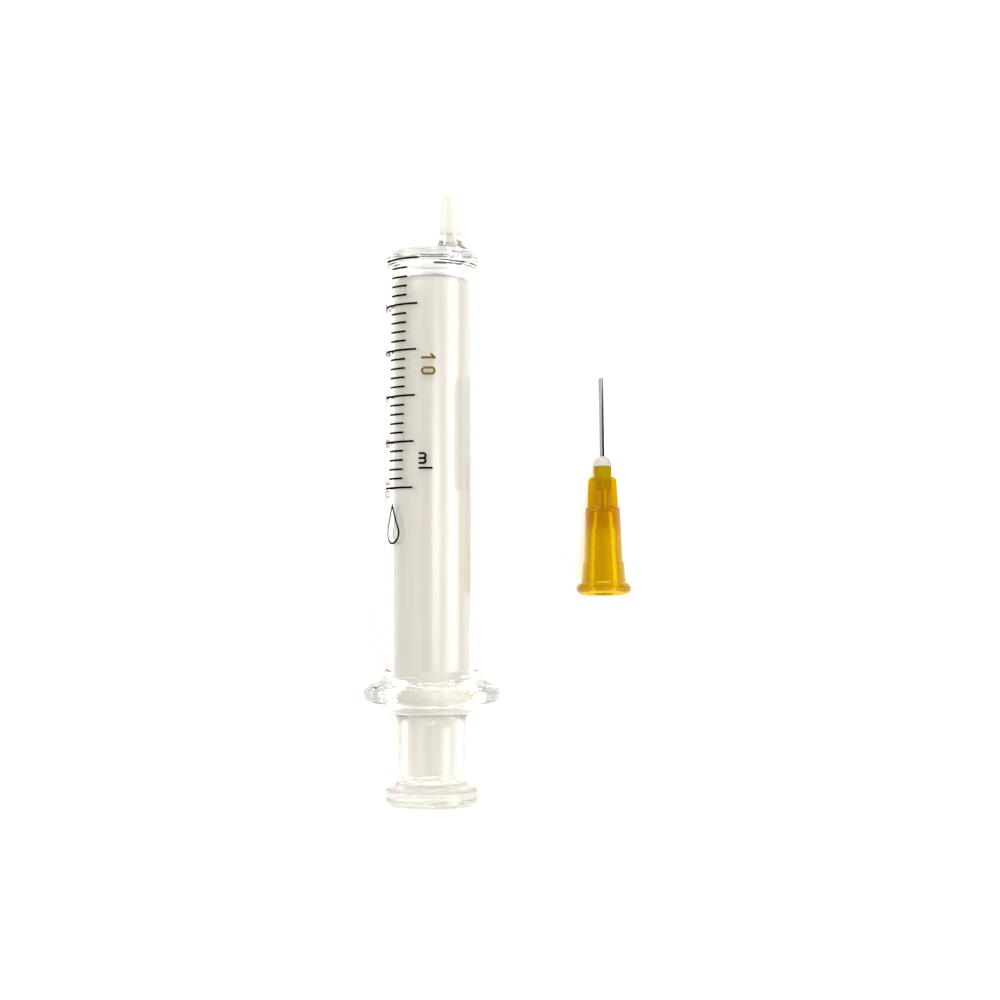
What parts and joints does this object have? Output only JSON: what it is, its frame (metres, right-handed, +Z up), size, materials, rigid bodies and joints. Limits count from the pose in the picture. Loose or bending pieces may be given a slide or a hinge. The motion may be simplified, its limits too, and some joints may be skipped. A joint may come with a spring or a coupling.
{
  "type": "oral syringe",
  "caption": "All-glass syringe with graduated barrel, round finger flange, offset slip nozzle and ground hollow plunger, lying beside its blunt steel needle with a ribbed amber hub.",
  "frame": {"origin": "on the bench, under the middle of the flat on the underside of the finger flange, directly below the barrel's axis", "axes": "+Y along the barrel's axis towards the nozzle, +X across the finger flange towards the needle, +Z up from the bench"},
  "size_m": [0.0564, 0.1271, 0.0246],
  "materials": {
    "clear_glass": "fire-polished borosilicate glass, clear",
    "ground_nozzle_glass": "ground glass, frosted outside",
    "ground_plunger_glass": "ground glass along the body, clear at the neck and thumb disc",
    "brown_enamel": "fired ceramic enamel print, dark brown",
    "amber_enamel": "fired ceramic enamel print, amber brown",
    "amber_polypropylene": "moulded translucent polypropylene, amber yellow",
    "white_epoxy": "cured white epoxy bead",
    "cannula_steel": "drawn stainless steel tube"
  },
  "bodies": {
    "barrel": {"barrel": "clear_glass", "nozzle": "ground_nozzle_glass", "scale_major_lines": "brown_enamel", "scale_minor_lines": "brown_enamel", "scale_numerals": "brown_enamel", "capacity_mark": "amber_enamel", "unit_mark": "brown_enamel", "drop_mark": "brown_enamel"},
    "plunger": {"plunger": "ground_plunger_glass"},
    "needle": {"needle_hub": "amber_polypropylene", "adhesive_bead": "white_epoxy", "cannula": "cannula_steel"}
  },
  "joints": [
    {"name": "plunger_slide", "type": "slide", "parent": "barrel", "child": "plunger", "axis": [0, -1, 0], "range_m": [-0.003, 0.05]},
    {"name": "needle_lift", "type": "slide", "parent": "barrel", "child": "needle", "axis": [0, 0, 1], "range_m": [0, 0.06]}
  ]
}
